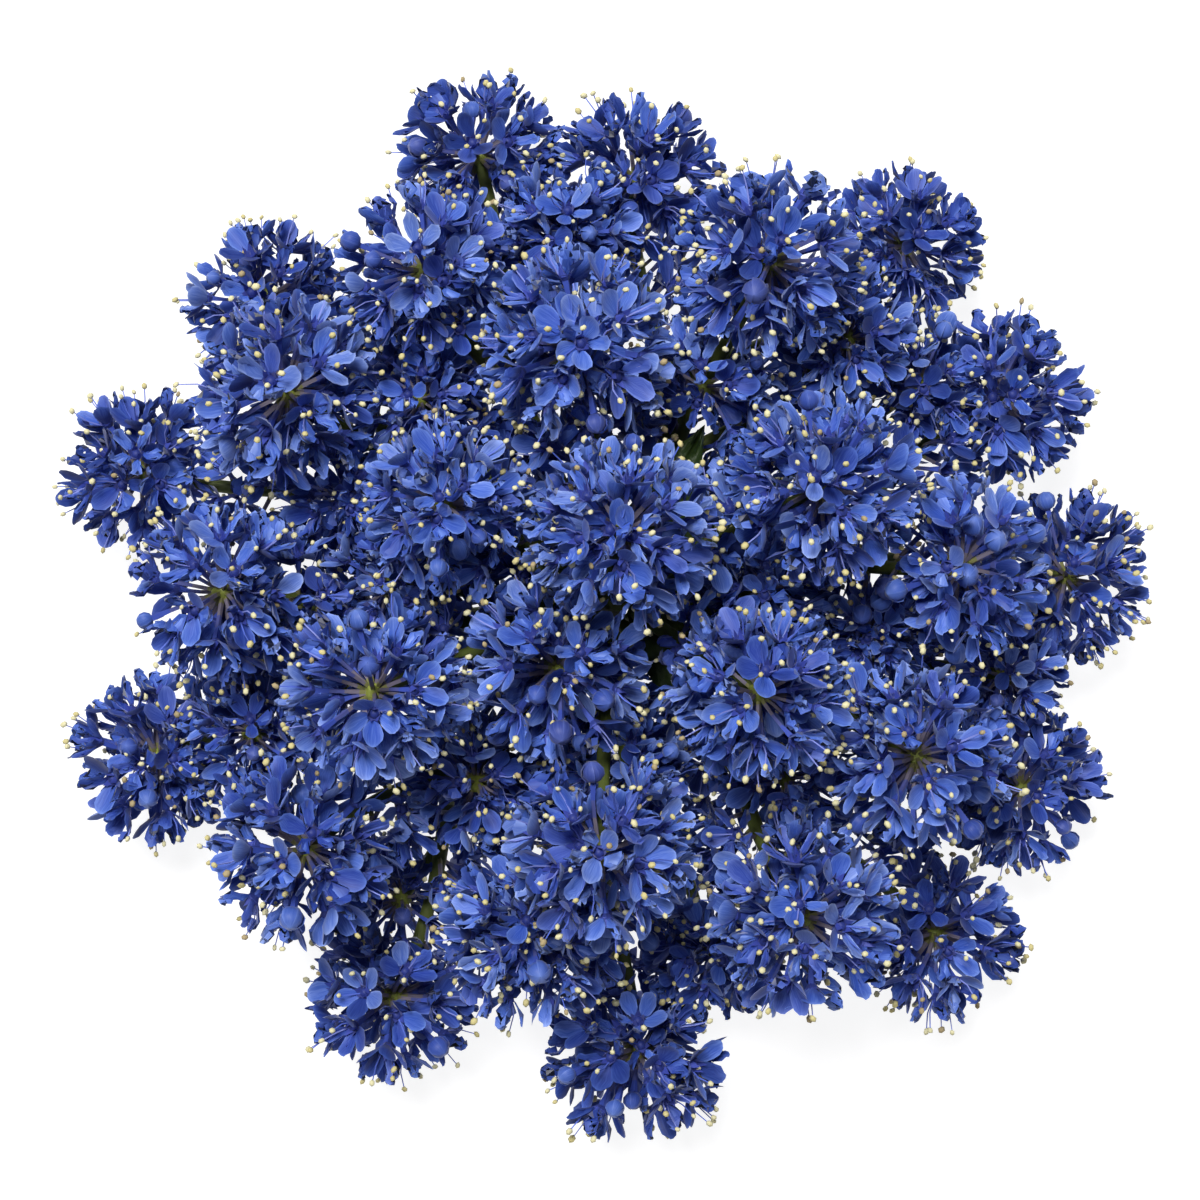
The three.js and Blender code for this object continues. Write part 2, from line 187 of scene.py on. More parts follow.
def straight_rod(sides, rings, cut=()):
    """A rod of radius 1 from height 0 to 1, ringed evenly.

    cut insets its foot, which then shows the second finish with the third one in its middle.
    """
    above_foot = 0.001 - 0.5
    bpy.ops.mesh.primitive_cylinder_add(vertices=sides, radius=1, depth=1, location=(0, 0, 0.5))
    model = bpy.context.object
    bpy.ops.object.mode_set(mode="EDIT")
    for ring in range(1, rings):
        bpy.ops.mesh.select_all(action="SELECT")
        bpy.ops.mesh.bisect(plane_co=(0, 0, ring / rings), plane_no=(0, 0, 1))
    for inset in cut:
        pick(model, "FACE", lambda middle: middle.z < above_foot and middle.xy.length < 0.1)
        bpy.ops.mesh.inset(thickness=inset)
    bpy.ops.object.mode_set(mode="OBJECT")
    for face in model.data.polygons:
        if cut and face.center.z < above_foot:
            face.material_index = 2 if face.center.xy.length < 0.01 else 1
    return Pattern(model)


def colour(red, green, blue):
    """A plain base colour, from the values that a paint chart gives."""
    return (*(((value / 255 + 0.055) / 1.055) ** 2.4 for value in (red, green, blue)), 1)


class Value:
    """A number that varies over a surface. Python's operators on it add Math nodes."""

    def __init__(self, finish, socket):
        self.finish, self.socket = finish, socket

    def math(self, operation, *others):
        sockets = dict(enumerate((self, *others)))
        return self.finish.node("ShaderNodeMath", {"operation": operation}, sockets)

    def __add__(self, other):
        return self.math("ADD", other)

    def __sub__(self, other):
        return self.math("SUBTRACT", other)

    def __mul__(self, other):
        return self.math("MULTIPLY", other)

    def __rsub__(self, other):
        return (self * -1) + other

    __radd__ = __add__
    __rmul__ = __mul__


class Finish:
    """A procedural material: a Principled shader with constants, and what varies over the surface."""

    def __init__(self, name, base, constants):
        self.material = bpy.data.materials.new(name)
        self.material.use_nodes = True
        self.tree = self.material.node_tree
        self.shader = self.tree.nodes["Principled BSDF"]
        self.base = base
        self.feed(self.shader.inputs["Base Color"], self.base)
        for socket, value in constants.items():
            self.feed(self.shader.inputs[socket], value)

    def feed(self, socket, value):
        if isinstance(value, Value):
            self.tree.links.new(value.socket, socket)
        else:
            socket.default_value = value

    def node(self, kind, settings, sockets, output=0):
        made = self.tree.nodes.new(kind)
        for name, value in settings.items():
            setattr(made, name, value)
        for key, value in sockets.items():
            self.feed(made.inputs[key], value)
        return Value(self, made.outputs[output])

    def place(self):
        return self.node("ShaderNodeTexCoord", {}, {}, output=3)

    def stretched(self, vector, x, y, z):
        settings, sockets = {"operation": "MULTIPLY"}, {0: vector, 1: (x, y, z)}
        return self.node("ShaderNodeVectorMath", settings, sockets)

    def noise(self, vector, scale, detail=3):
        sockets = {"Vector": vector, "Scale": scale, "Detail": detail}
        return self.node("ShaderNodeTexNoise", {}, sockets)

    def mix(self, share, first, second):
        settings = {"data_type": "RGBA"}
        return self.node("ShaderNodeMix", settings, {0: share, 6: first, 7: second}, output=2)

    def paint(self, value):
        self.feed(self.shader.inputs["Base Color"], value)

    def roughen(self, value):
        self.feed(self.shader.inputs["Roughness"], value)

    def raise_by(self, height, distance, strength=1.0):
        sockets = {"Height": height, "Distance": distance, "Strength": strength}
        self.feed(self.shader.inputs["Normal"], self.node("ShaderNodeBump", {}, sockets))


def green_bark(name, base, ridge):
    """Smooth young bark, mottled with a darker green, with fine grain along and round the limb in its
    roughness and relief.
    """
    finish = Finish(name, colour(*base), {"Specular IOR Level": 0.35})
    grain = finish.noise(finish.stretched(finish.place(), 1, 1, 0.35), 2600)
    mottle = finish.noise(finish.place(), 520)
    finish.paint(finish.mix(mottle, colour(*ridge), finish.base))
    finish.roughen(grain * 0.3 + 0.42)
    finish.raise_by(grain, 0.00008, 0.6)
    return finish


bark = green_bark("green_bark", (98, 112, 48), (62, 68, 26))
pale_wood = green_bark("cut_wood", (206, 204, 158), (168, 170, 112))
pith = green_bark("pith", (226, 226, 200), (196, 198, 160))


def ridged(waves, height, swellings=(), seed=1):
    """Low ridges along a limb that wander round it, and a swelling under each fork."""
    draw = np.random.RandomState(seed)
    phases = 2 * math.pi * draw.rand(4)

    def relief(angle, share):
        wander = 0.6 * np.sin(5 * share + phases[0])
        broad = np.sin(waves * (angle + wander) + phases[1])
        narrow = 0.5 * np.sin((2 * waves - 1) * angle + 9 * share + phases[2])
        lumps = 0.4 * np.sin(23 * share + 2 * angle + phases[3])
        swelling = sum(np.exp(-(((share - fork) / SWELLING_WIDTH) ** 2)) for fork in swellings)
        return height * (broad + narrow + lumps) + SWELLING_HEIGHT * swelling

    return relief


stem_tip = (STEM_LEAN, 0, STEM_HEIGHT)
stem = Limb((0, 0, 0), (0, 0, STEM_HEIGHT / 2), stem_tip, STEM_CUT_RADIUS, STEM_TIP_RADIUS)
stem_rod = straight_rod(STEM_SIDES, STEM_RINGS, CUT_INSETS)
stem_swellings = [height / STEM_HEIGHT for height in STEM_SWELLINGS]
stem_corners = stem.skin(stem_rod.points, ridged(7, RIDGE_HEIGHT, stem_swellings))
joined("green_stem", stem_rod, [stem_corners], [bark, pale_wood, pith], ["stem"])

# ---------------------------------------- side branches
# Nine side branches of the same green wood grow out of the stem all round, one above another, and
# arch over to the outer umbels. Each is one tapering limb, with a swelling under each of its forks.

BRANCH_SPREAD = 25  # from the stem's axis to a branch's tip
BRANCH_TIP_HEIGHT = 11.5
BRANCH_ARCH = 2  # how far a branch rises over the straight line between its ends
BRANCH_ROOT_RADIUS = 1.25
BRANCH_TIP_RADIUS = 0.9
BRANCH_FORKS = [1, 0.84, 0.68, 0.52]  # where its umbels' stalks leave it, as shares of its length
BRANCH_BEARINGS = [113, 68, 17, 335, 308, 267, 231, 190, 145]
BRANCH_LEAVES = [7.6, 10.4, 7.6, 10.4, 7.6, 10.4, 7.6, 10.4, 12.6]  # its height where it leaves the stem
BRANCH_SIDES, BRANCH_RINGS = 18, 30


def polar(bearing, spread, height):
    angle = math.radians(bearing)
    return np.array([spread * math.cos(angle), spread * math.sin(angle), height])


def branch_limb(bearing, leaves):
    tip = polar(bearing, BRANCH_SPREAD, BRANCH_TIP_HEIGHT)
    bend = polar(bearing, BRANCH_SPREAD / 2, (leaves + BRANCH_TIP_HEIGHT) / 2 + BRANCH_ARCH)
    root = stem.seat(leaves / STEM_HEIGHT, bend, BRANCH_ROOT_RADIUS)
    return Limb(root, bend, tip, BRANCH_ROOT_RADIUS, BRANCH_TIP_RADIUS)


branches = [branch_limb(*plan) for plan in zip(BRANCH_BEARINGS, BRANCH_LEAVES)]
branch_rod = straight_rod(BRANCH_SIDES, BRANCH_RINGS)
branch_corners = [
    limb.skin(branch_rod.points, ridged(5, RIDGE_HEIGHT, BRANCH_FORKS, seed=i + 2))
    for i, limb in enumerate(branches)
]
branch_nodes = [f"branch_{i + 1}" for i in range(len(branches))]
joined("side_branches", branch_rod, branch_corners, [bark], branch_nodes)

# ---------------------------------------- umbel stalks
# Each umbel has a stout stalk of its own, green and a little downy, that turns to face out of the
# dome and ends in a small green knob. Twenty-one grow on the stem and the rest on the branches.

STALK_ROOT_RADIUS = 0.8
STALK_TIP_RADIUS = 0.6
STALK_SWEEP = 0.45  # how much of its length a stalk takes to turn and face out
STALK_RIDGE_HEIGHT = 0.03
STALK_SIDES, STALK_RINGS = 10, 14
DOME_FOCUS = np.array([0.0, 0.0, -2.0])  # all umbels face away from here

# Bearing, spread from the stem's axis, height and radius, and for the stem's own where they leave it.
STEM_UMBELS = [
    (77, 6.0, 37.0, 8.9, 23), (150, 17.0, 34.4, 7.7, 20.4), (328, 16.2, 34.6, 8.0, 19.8),
    (27, 21.9, 33.2, 9.1, 18.0), (236, 7.8, 28.6, 8.8, 17.6), (202, 22.7, 32.4, 8.6, 16.4),
    (96, 23.1, 32.8, 9.4, 17.4), (269, 23.0, 32.4, 9.1, 15.2), (159, 27.0, 18.0, 6.9, 17.4),
    (352, 25.6, 18.4, 6.4, 14.0), (65, 22.4, 19.6, 7.1, 14.4), (235, 21.6, 19.2, 6.8, 13.2),
    (133, 26.0, 21.0, 6.4, 15.6), (3, 15.2, 22.0, 6.2, 16.2), (177, 20.8, 20.8, 6.6, 14.8),
    (277, 16.8, 21.4, 6.4, 12.6), (34, 37.8, 11.8, 7.3, 4.2), (124, 33.0, 9.0, 7.2, 4.2),
    (187, 31.0, 9.4, 7.2, 4.2), (236, 36.6, 9.0, 7.0, 4.2), (286.5, 37.2, 9.2, 7.2, 4.2),
]
BRANCH_UMBELS = [
    [(106, 46.0, 10.2, 8.6), (119, 35.0, 25.6, 8.1), (96, 35.2, 17.6, 7.2)],
    [(49.6, 46.4, 10.0, 7.8), (86, 41.6, 12.4, 8.6), (64, 35.0, 25.8, 9.3), (47, 34.2, 18.2, 6.6)],
    [(27, 44.0, 11.6, 9.0), (2.6, 46.2, 10.2, 8.6), (5, 33.2, 27.0, 8.6)],
    [(335.4, 45.8, 10.0, 8.5), (333, 32.4, 27.6, 9.2), (349, 40.0, 13.5, 6.2)],
    [(314.6, 47.2, 9.6, 8.6), (301.6, 35.2, 25.6, 9.4), (315, 24.8, 16.4, 7.1)],
    [(274, 45.0, 11.2, 9.7), (258, 32.8, 20.6, 9.2)],
    [(242, 45.2, 10.2, 8.9), (220, 37.2, 22.6, 9.2)],
    [(199.6, 47.6, 9.6, 8.8), (179, 36.0, 24.6, 8.9), (201, 37.0, 15.5, 6.4)],
    [(138.4, 45.2, 10.4, 7.9), (164.6, 48.2, 9.4, 8.2), (147, 35.4, 25.4, 9.4)],
]


class Umbel:
    """An umbel's place. Its own frame has the knob at the origin and +Z out of the dome."""

    def __init__(self, bearing, spread, height, radius, carrier, share, seed):
        self.knob = polar(bearing, spread, height)
        self.radius, self.seed = radius, seed
        outwards = (self.knob - DOME_FOCUS) / np.linalg.norm(self.knob - DOME_FOCUS)
        self.turn = np.array(Vector(UP).rotation_difference(Vector(outwards)).to_matrix())
        run = np.linalg.norm(self.knob - carrier.point(share))
        bend = self.knob - outwards * STALK_SWEEP * run
        root = carrier.seat(share, bend, STALK_ROOT_RADIUS)
        self.stalk = Limb(root, bend, self.knob, STALK_ROOT_RADIUS, STALK_TIP_RADIUS)


umbels = []
for *plan, leaves in STEM_UMBELS:
    umbels.append(Umbel(*plan, stem, leaves / STEM_HEIGHT, len(umbels) + 1))
for carrier, plans in zip(branches, BRANCH_UMBELS):
    for plan, fork in zip(plans, BRANCH_FORKS):
        umbels.append(Umbel(*plan, carrier, fork, len(umbels) + 1))

stalk_green = green_bark("stalk_green", (104, 118, 52), (74, 80, 38))
stalk_rod = straight_rod(STALK_SIDES, STALK_RINGS)
stalk_corners = [
    umbel.stalk.skin(stalk_rod.points, ridged(3, STALK_RIDGE_HEIGHT, (1,), umbel.seed)) for umbel in umbels
]
umbel_nodes = [f"umbel_{umbel.seed:02d}" for umbel in umbels]
joined("umbel_stalks", stalk_rod, stalk_corners, [stalk_green], umbel_nodes)

# The knob at a stalk's end: a green swelling that all the flower stalks of the umbel spring from, a
# little rough with the scars of its bracts.

KNOB_RADIUS = 0.95
KNOB_SIDES, KNOB_RINGS = 14, 9
KNOB_LUMPS = 0.07  # as a share of its radius

bpy.ops.mesh.primitive_uv_sphere_add(segments=KNOB_SIDES, ring_count=KNOB_RINGS, radius=KNOB_RADIUS)
knob_pattern = Pattern(bpy.context.object)
knob_green = green_bark("knob_green", (152, 162, 70), (108, 116, 48))
knob_draw = np.random.RandomState(5)
knob_corners = []
for umbel in umbels:
    waves = np.sin(knob_pattern.points @ (5 * knob_draw.randn(3, 3)))
    lumps = 1 + KNOB_LUMPS * waves.sum(axis=1, keepdims=True)
    knob_corners.append(umbel.knob + (knob_pattern.points * lumps) @ umbel.turn.T)
joined("umbel_knobs", knob_pattern, knob_corners, [knob_green])

# ---------------------------------------- leaves
# Three small evergreen leaves that were left on the stem among the middle umbels. Each is a thick dark
# blade with a sunken midrib, raised between its side veins, and a finely toothed edge turned down.

LEAF_THICKNESS = 0.35
LEAF_FULLNESS = 0.85  # the further under 1, the nearer its widest place is to its foot
LEAF_TEETH = 0.05
LEAF_SKIN = 0.02  # its thickness here, as a share of its length
LEAF_COLUMNS, LEAF_ROWS = 12, 24
# Bearing, height where it leaves the stem, slope above level, length and width.
LEAVES = [(62, 16.4, 20, 17, 5.6), (312, 16.6, 30, 14, 5.0), (34, 12.8, 26, 15, 4.6)]


def blade(columns, rows, outline, lift, thickness):
    """A closed thin blade along +Y from the origin, of two skins that meet in its edge.

    outline gives each corner's place from its share of the width and of the length, and lift its height.
    """
    bpy.ops.mesh.primitive_grid_add(x_subdivisions=columns, y_subdivisions=rows, size=2)
    model = bpy.context.object
    bpy.ops.object.mode_set(mode="EDIT")
    shape = bmesh.from_edit_mesh(model.data)
    for corner in shape.verts:
        across, share = corner.co.x, (corner.co.y + 1) / 2
        corner.co = outline(across, share) + Vector((0, 0, lift(across, share)))
    bmesh.update_edit_mesh(model.data)
    bpy.ops.mesh.select_all(action="SELECT")
    bpy.ops.mesh.duplicate()
    bpy.ops.mesh.flip_normals()
    bpy.ops.mesh.select_mode(type="VERT")
    shape = bmesh.from_edit_mesh(model.data)
    for corner in shape.verts:
        corner.select_set(corner.select and not corner.is_boundary)
    shape.select_flush_mode()
    bmesh.update_edit_mesh(model.data)
    bpy.ops.transform.translate(value=(0, 0, -thickness))
    bpy.ops.mesh.select_all(action="SELECT")
    bpy.ops.mesh.remove_doubles(threshold=1e-5)
    bpy.ops.object.mode_set(mode="OBJECT")
    return model


def leaf_outline(across, share):
    half = math.sin(math.pi * share**LEAF_FULLNESS)
    teeth = LEAF_TEETH * math.sin(40 * share) * abs(across) ** 8
    return Vector((across * half * (1 + teeth) / 2, share, 0))


def leaf_lift(across, share):
    groove = -0.02 * math.exp(-((across / 0.12) ** 2))
    quilt = 0.012 * math.sin(34 * (share - 0.35 * abs(across))) * math.sin(math.pi * abs(across))
    return groove + quilt - 0.03 * across**2 - 0.1 * share**2


leaf_pattern = Pattern(blade(LEAF_COLUMNS, LEAF_ROWS, leaf_outline, leaf_lift, LEAF_SKIN))
leaf_corners = []
for bearing, leaves, slope, length, width in LEAVES:
    outwards = polar(bearing, 1, math.tan(math.radians(slope)))
    outwards /= np.linalg.norm(outwards)
    sideways = np.cross(UP, outwards)
    sideways /= np.linalg.norm(sideways)
    share = leaves / STEM_HEIGHT
    base = stem.seat(share, stem.point(share) + outwards, LEAF_THICKNESS)
    frame_rows = np.array([-sideways * width, outwards * length, np.cross(outwards, sideways) * length])
    leaf_corners.append(base + leaf_pattern.points @ frame_rows)

leaf_green = Finish("leaf_green", colour(58, 82, 30), {"Specular IOR Level": 0.5, "Coat Weight": 0.15})
leaf_mottle = leaf_green.noise(leaf_green.place(), 420)
leaf_grain = leaf_green.noise(leaf_green.place(), 3200)
leaf_green.paint(leaf_green.mix(leaf_mottle, colour(34, 50, 18), leaf_green.base))
leaf_green.roughen(leaf_grain * 0.25 + 0.38)
leaf_green.raise_by(leaf_grain, 0.00006)
leaf_nodes = [f"leaf_{i + 1}" for i in range(len(LEAVES))]
joined("stem_leaves", leaf_pattern, leaf_corners, [leaf_green], leaf_nodes)

# ---------------------------------------- the flowers' places
# An umbel's flowers grow on their own stalks out of its knob, evenly but for a little wander, except on
# the side that its stalk comes from. Where two umbels meet, each keeps mostly to its own side, and all
# keep clear of the limbs.

FLOWER_STALK_RADIUS = 0.3
FLOWER_SPREAD, FLOWER_DEPTH, BUD_SPREAD = 0.3, 0.26, 0.16  # as shares of the umbel's radius
BUD_SHARE = 0.1
UMBEL_COVER = math.radians(118)  # how far from the crown its main flowers stand
UMBEL_EYE = math.radians(12)  # how far from the crown the bare middle reaches
AIM_WANDER = 0.05
LENGTH_WANDER = 0.07
# The main flowers out of the knob's faces, then the finer ones at its corners and over its edges: how far
# from the crown they stand, which share of them has grown, and how long they are beside the main ones.
TIER_COVERS = [UMBEL_COVER, math.radians(150), math.radians(150)]
TIER_SHARES = [1, 1, 0.35]
TIER_LEVELS = [1, 1, 0.68]
UNDERSIDE, UNDER_SHARE = math.radians(100), 0.85  # most finer places from here down hold one
EYE_EDGE = math.radians(30)  # up to here from the crown they are fewer, so that the eye opens
EYE_SHARE = (0, 0.6)  # from one umbel to another
BORDER_REACH = 0.35  # how far a flower's middle may cross to a neighbour's side, in its own radii
CROWD_ROOM = 0.5  # share of both radii that flowers' middles are apart at least
LIMB_ROOM = 0.5  # how clear of a limb a flower keeps, in its own radii
TABLE_ROOM = 1.35  # how high over the table its middle stands at least, in its own radii
SIDE_SHARES = np.linspace(0.2, 0.9, 21)  # where single flowers leave the side of a stalk or a branch
SIDE_STAGGER = 0.015  # from one stalk or branch to the next
SIDE_TURN = math.radians(137.5)
SIDE_LEAN = math.radians(64)
SIDE_REACH = 0.84
LIMB_SAMPLES = 17
SEED_STEP, MASK = 0x6D2B79F5, 0xFFFFFFFF
NO_FLOWERS_AIM = [0.31, 0.57, 0.76]  # a direction that no axis lies along


def seeded(seed):
    """Random numbers from 0 to 1, in the same order as in the part's source."""
    state = seed
    while True:
        state = (state + SEED_STEP) & MASK
        bits = (state ^ state >> 15) * (1 | state) & MASK
        bits = (bits + ((bits ^ bits >> 7) * (61 | bits) & MASK) & MASK) ^ bits
        yield (bits ^ bits >> 14) / 2**32


def knob_directions():
    """The middles of an icosahedron's faces but the stalk's, its corners, and its edges' middles."""
    golden = (1 + math.sqrt(5)) / 2
    tops = [
        Vector(p).normalized()
        for p in (
            (-1, golden, 0), (1, golden, 0), (-1, -golden, 0), (1, -golden, 0),
            (0, -1, golden), (0, 1, golden), (0, -1, -golden), (0, 1, -golden),
            (golden, 0, -1), (golden, 0, 1), (-golden, 0, -1), (-golden, 0, 1),
        )
    ]
    faces = (
        (0, 11, 5), (0, 5, 1), (0, 1, 7), (0, 7, 10), (0, 10, 11), (1, 5, 9), (5, 11, 4),
        (11, 10, 2), (10, 7, 6), (7, 1, 8), (3, 9, 4), (3, 4, 2), (3, 2, 6), (3, 6, 8),
        (3, 8, 9), (4, 9, 5), (2, 4, 11), (6, 2, 10), (8, 6, 7), (9, 8, 1),
    )
    middles = [sum((tops[i] for i in face), Vector()).normalized() for face in faces]
    first_down = middles[0].rotation_difference(Vector(-UP))
    edges = sorted({tuple(sorted((face[i], face[i - 1]))) for face in faces for i in range(3)})
    edge_middles = [(tops[a] + tops[b]).normalized() for a, b in edges]
    return [[np.array(first_down @ v) for v in places] for places in (middles[1:], tops, edge_middles)]


class Flower:
    """One flower or bud of an umbel: where its stalk ends, which way it faces, and its size."""

    def __init__(self, umbel, carrier, root, aim, reach, is_bud):
        self.umbel, self.carrier, self.root, self.aim, self.is_bud = umbel, carrier, root, aim, is_bud
        self.spread = umbel.radius * (BUD_SPREAD if is_bud else FLOWER_SPREAD)
        depth = self.spread if is_bud else umbel.radius * FLOWER_DEPTH
        self.length = math.sqrt(reach**2 - self.spread**2) - depth
        self.base = root + aim * self.length
        self.middle = root + aim * (self.length + depth / 2)

    def leaves_its_space(self):
        """Whether it stands too far over on the side of another umbel."""
        others = np.array([other.knob for other in umbels if other is not self.umbel])
        radii = np.array([other.radius for other in umbels if other is not self.umbel])
        between = others - self.umbel.knob
        apart = np.linalg.norm(between, axis=1)
        border = apart * self.umbel.radius / (self.umbel.radius + radii)
        reached = between @ (self.middle - self.umbel.knob) / apart
        return bool((reached - self.spread * BORDER_REACH > border).any())

    def is_crowded(self, flowers):
        """Whether any of these flowers stands too near."""
        away = np.linalg.norm(np.array([other.middle for other in flowers]) - self.middle, axis=1)
        room = CROWD_ROOM * (np.array([other.spread for other in flowers]) + self.spread)
        return bool((away < room).any())

    def touches_a_limb(self):
        """Whether it comes too near a limb, or its stalk too near one that doesn't bear it."""
        away = np.linalg.norm(limb_points - self.middle, axis=1)
        if (away < limb_rooms + self.spread * LIMB_ROOM).any():
            return True
        run = self.middle - self.root
        share = np.clip((limb_points - self.root) @ run / (run @ run), 0, 1)
        away = np.linalg.norm(limb_points - self.root - share[:, None] * run, axis=1)
        is_other = np.repeat([limb is not self.carrier for limb in all_limbs], len(limb_shares))
        return bool((away < limb_rooms + FLOWER_STALK_RADIUS)[is_other].any())

    def has_room(self, flowers):
        is_over_table = self.middle[2] - self.spread * TABLE_ROOM > 0
        return is_over_table and not self.touches_a_limb() and not (flowers and self.is_crowded(flowers))


def knob_flower(umbel, even, spin, draw, level):
    """A flower out of the knob, near one of the even directions, and as long as its level says."""
    lean = np.array([next(draw) - 0.5 for _ in range(3)])
    reach = umbel.radius * level * (1 - LENGTH_WANDER * next(draw))
    is_bud = next(draw) < BUD_SHARE
    aim = even + lean * 2 * AIM_WANDER
    aim = umbel.turn @ spin @ (aim / np.linalg.norm(aim))
    return Flower(umbel, umbel.stalk, umbel.knob, aim, reach, is_bud)


def turned(first, other, angle):
    """The direction that lies at an angle from the first, towards the other."""
    return first * math.cos(angle) + other * math.sin(angle)


def basis(axis, roll):
    """Rows of a frame whose last row is the axis, turned about it."""
    side = np.cross(axis, NO_FLOWERS_AIM)
    side /= np.linalg.norm(side)
    side = turned(side, np.cross(axis, side), roll)
    return np.array([side, np.cross(axis, side), axis])


def side_flower(umbel, carrier, share, turn, draw):
    """A single flower lower down, out of the side of a stalk, a branch or the stem."""
    side, _, along = basis(carrier.along(share), turn)
    aim = turned(along, side, SIDE_LEAN)
    reach = umbel.radius * SIDE_REACH * (1 - LENGTH_WANDER * next(draw))
    return Flower(umbel, carrier, carrier.point(share), aim, reach, next(draw) < BUD_SHARE)


def grown_share(tier, off_crown, eye_share):
    """Which share of a tier's places this far from the crown hold a flower."""
    if off_crown < EYE_EDGE:
        return eye_share
    return TIER_SHARES[tier] if off_crown < UNDERSIDE else UNDER_SHARE


# The leaves count as limbs too: each as wide as its blade, and a point at its tip.
leaf_limbs = []
for corners, (*_, width) in zip(leaf_corners, LEAVES):
    tip = corners[leaf_pattern.points[:, 1].argmax()]
    base = corners[leaf_pattern.points[:, 1].argmin()]
    leaf_limbs.append(Limb(base, (base + tip) / 2, tip, width / 2, width / 4))
limb_shares = np.linspace(0, 1, LIMB_SAMPLES)
all_limbs = [stem, *branches, *leaf_limbs, *(umbel.stalk for umbel in umbels)]
limb_points = np.concatenate([limb.point(limb_shares) for limb in all_limbs])
limb_rooms = np.concatenate([limb.radius(limb_shares) for limb in all_limbs]) + CLEARANCE

directions = knob_directions()
flowers = []
for umbel in umbels:
    draw = seeded(umbel.seed)
    spin = np.array(Quaternion(UP, 2 * math.pi * next(draw)).to_matrix())
    eye_share = np.interp(next(seeded(len(umbels) * 3 + umbel.seed)), (0, 1), EYE_SHARE)
    others = list(flowers)
    for tier, places in enumerate(directions):
        for even in places:
            flower = knob_flower(umbel, even, spin, draw, TIER_LEVELS[tier])
            off_crown = math.acos(max(-1, min(1, even[2])))
            share = grown_share(tier, off_crown, eye_share)
            is_grown = UMBEL_EYE < off_crown < TIER_COVERS[tier] and (tier == 0 or next(draw) < share)
            if is_grown and not flower.leaves_its_space() and flower.has_room(others):
                flowers.append(flower)

# Below the knobs single flowers stand where there is room: in a spiral out of each umbel's stalk, and in
# two spirals out of each branch and out of the stem.
side_carriers = [(umbel, umbel.stalk) for umbel in umbels]
side_carriers += [(umbels[len(STEM_UMBELS) + i], branch) for i, branch in enumerate(branches)] * 2
side_carriers += [(umbels[i], stem) for i in range(2)]
for i, (umbel, carrier) in enumerate(side_carriers):
    draw = seeded(len(umbels) + i)
    for step, share in enumerate(SIDE_SHARES + SIDE_STAGGER * (i % 3)):
        flower = side_flower(umbel, carrier, share, step * SIDE_TURN, draw)
        if flower.has_room(flowers):
            flowers.append(flower)

# A few more open flowers stand where two umbels' balls part and only stalks would show: the umbel's
# number, how far up its stalk the flower stands, and its turn about it in degrees.
GAP_FLOWERS = [
    (38, 0.52, 135), (46, 0.92, 135), (41, 1, 30), (30, 1, 195), (41, 0.36, 225), (27, 1, 75),
    (36, 0.6, 330), (46, 0.6, 255), (27, 0.36, 345), (36, 0.36, 15), (38, 1, 15), (29, 0.52, 300),
    (42, 1, 240), (26, 0.68, 30), (35, 0.2, 255), (22, 1, 180), (7, 0.92, 285), (40, 0.28, 135),
    (30, 0.92, 105), (25, 0.76, 60),
]
middling = itertools.repeat(0.5)
for number, share, degrees in GAP_FLOWERS:
    umbel = umbels[number - 1]
    flower = side_flower(umbel, umbel.stalk, share, math.radians(degrees), middling)
    if flower.has_room(flowers):
        flowers.append(flower)
open_flowers = [flower for flower in flowers if not flower.is_bud]
buds = [flower for flower in flowers if flower.is_bud]

# The pieces are made in five groups of umbels, from the crown down to three parts of the outer ring.
GROUPS = {
    "crown": range(1, 9),
    "middle": range(9, 22),
    "back": range(22, 29),
    "right": range(29, 38),
    "left": range(38, 48),
}


def in_groups(items):
    for group, seeds in GROUPS.items():
        yield group, [item for item in items if item.umbel.seed in seeds]


# ---------------------------------------- flower stalks
# Every flower has a thread-thin stalk of its own. It is greenish where it leaves the knob, dull mauve
# along its middle, and takes the flower's blue as it widens under the cup.

THREAD_RADIUS = 0.21
THREAD_FOOT, THREAD_FLARE = 0.35, 0.75  # how much wider it is at its foot and under the cup
THREAD_BOW = 0.25
THREAD_SINK = 0.05  # how far it stands up in the cup
THREAD_SIDES, THREAD_RINGS = 4, 4
TYPICAL_RADIUS = 8.6  # the umbel whose flowers have their patterns' own size
stalk_pattern = straight_rod(THREAD_SIDES, THREAD_RINGS)
first_heights = stalk_pattern.points[stalk_pattern.loops[stalk_pattern.starts], 2]
stalk_pattern.slots = np.clip((first_heights * THREAD_RINGS).astype(int), 0, THREAD_RINGS - 1)


def thread_finish(name, base, other):
    finish = Finish(name, colour(*base), {"Specular IOR Level": 0.3, "Roughness": 0.6})
    finish.paint(finish.mix(finish.noise(finish.place(), 900), colour(*other), finish.base))
    return finish


stalk_finishes = [
    thread_finish("stalk_foot", (130, 132, 76), (106, 100, 72)),
    thread_finish("stalk_lower", (126, 118, 130), (100, 94, 114)),
    thread_finish("stalk_upper", (86, 94, 158), (70, 76, 134)),
    thread_finish("stalk_top", (66, 88, 180), (54, 72, 158)),
]


def stalk_shape(flower, draw):
    """A stalk that bows a little to one side, and widens into the cup."""
    x, y, share = stalk_pattern.points.T
    flare = 1 + THREAD_FOOT * (1 - share) ** 3 + THREAD_FLARE * share**6
    wide = THREAD_RADIUS * flare * flower.umbel.radius / TYPICAL_RADIUS
    bow = draw.uniform(-THREAD_BOW, THREAD_BOW, 2)[:, None] * 4 * share * (1 - share)
    local = np.array([x * wide + bow[0], y * wide + bow[1], share * (flower.length + THREAD_SINK)]).T
    return flower.root + local @ basis(flower.aim, 0)


